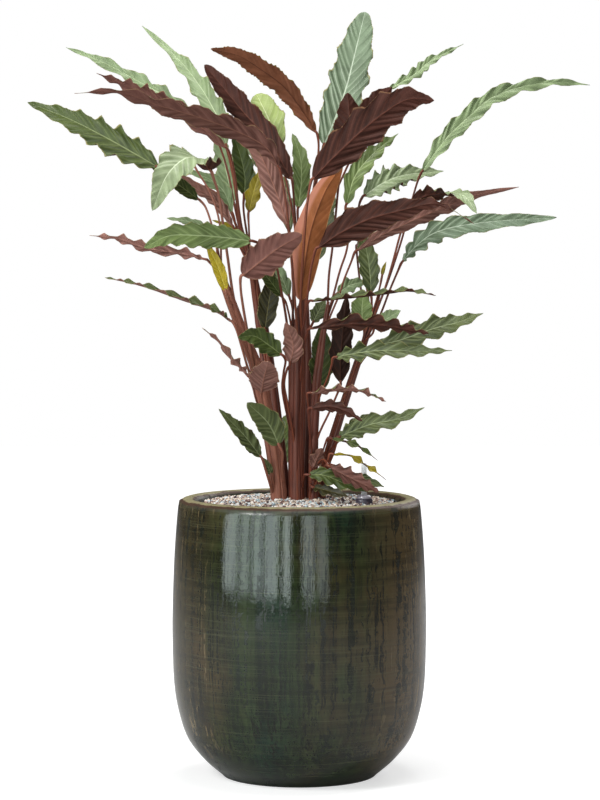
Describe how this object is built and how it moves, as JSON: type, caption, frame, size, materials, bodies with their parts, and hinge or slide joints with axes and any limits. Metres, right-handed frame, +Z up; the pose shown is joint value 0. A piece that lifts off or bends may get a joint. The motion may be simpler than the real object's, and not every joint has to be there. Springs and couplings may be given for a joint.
{
  "type": "potted wavestar velvet calathea",
  "caption": "Large prayer plant with long waved leaves, green above and maroon below, on bundled stalks in a dark glazed planter filled with mineral granulate.",
  "frame": {"origin": "centre of the pot's flat underside, on the floor", "axes": "+Z up from the floor to the crown; -Y towards the front of the plant; +X to the right as seen from the front"},
  "size_m": [0.8351, 0.4878, 1.1262],
  "materials": {
    "glaze": "glossy dark green glaze with brown and teal clouds",
    "liner": "matte dark plastic",
    "granulate": "loose mixed mineral grains, white, cream, pale blue and brown",
    "gauge_cap": "smooth dark plastic with a milky dome",
    "gauge_tube": "clear tube",
    "stem": "satin red-brown leaf stalks and sheaths",
    "leaf_green": "satin mid green leaf with maroon underside",
    "leaf_sage": "satin sage green leaf with maroon underside",
    "leaf_pale": "satin pale green leaf with maroon underside",
    "leaf_deep": "satin dark green leaf with maroon underside",
    "leaf_maroon": "velvety dark maroon underside to the front",
    "leaf_dusty": "dusty purple-brown underside to the front",
    "leaf_brown": "reddish brown underside to the front"
  },
  "bodies": {
    "root": {"pot": "glaze", "liner": "liner", "substrate": "granulate", "gauge_cap": "gauge_cap", "gauge_tube": "gauge_tube", "stem_left_lean": "stem", "stem_left_back": "stem", "stem_centre_front": "stem", "stem_centre_back": "stem", "stem_right_inner": "stem", "stem_right_outer": "stem", "blade_left_01": "leaf_deep", "blade_left_02": "leaf_pale", "blade_left_04": "leaf_deep", "blade_left_05": "leaf_dusty", "blade_left_07": "leaf_sage", "blade_left_08": "leaf_dusty", "blade_left_09": "leaf_dusty", "blade_left_11": "leaf_maroon", "blade_left_12": "leaf_brown", "blade_left_13": "leaf_sage", "blade_left_14": "leaf_sage", "blade_left_15": "leaf_sage", "blade_left_17": "leaf_green", "blade_left_18": "leaf_deep", "blade_left_22": "leaf_green", "blade_left_23": "leaf_dusty", "blade_left_25": "leaf_dusty", "blade_left_26": "leaf_dusty", "blade_left_27": "leaf_dusty", "blade_left_28": "leaf_deep", "blade_left_29": "leaf_dusty", "blade_left_30": "leaf_dusty", "blade_left_31": "leaf_green", "blade_left_32": "leaf_green", "blade_right_01": "leaf_pale", "blade_right_03": "leaf_sage", "blade_right_04": "leaf_maroon", "blade_centre_01": "leaf_brown", "blade_right_05": "leaf_sage", "blade_right_06": "leaf_green", "blade_right_07": "leaf_pale", "blade_right_08": "leaf_pale", "blade_right_09": "leaf_maroon", "blade_right_10": "leaf_dusty", "blade_right_11": "leaf_pale", "blade_right_12": "leaf_green", "blade_right_14": "leaf_maroon", "blade_right_15": "leaf_maroon", "blade_right_16": "leaf_green", "blade_right_17": "leaf_green", "blade_right_20": "leaf_maroon", "blade_right_27": "leaf_dusty", "blade_right_28": "leaf_maroon", "blade_right_29": "leaf_green", "blade_right_33": "leaf_dusty", "blade_right_35": "leaf_deep", "blade_back_01": "leaf_green", "blade_back_03": "leaf_green", "blade_back_04": "leaf_green"}
  },
  "joints": []
}
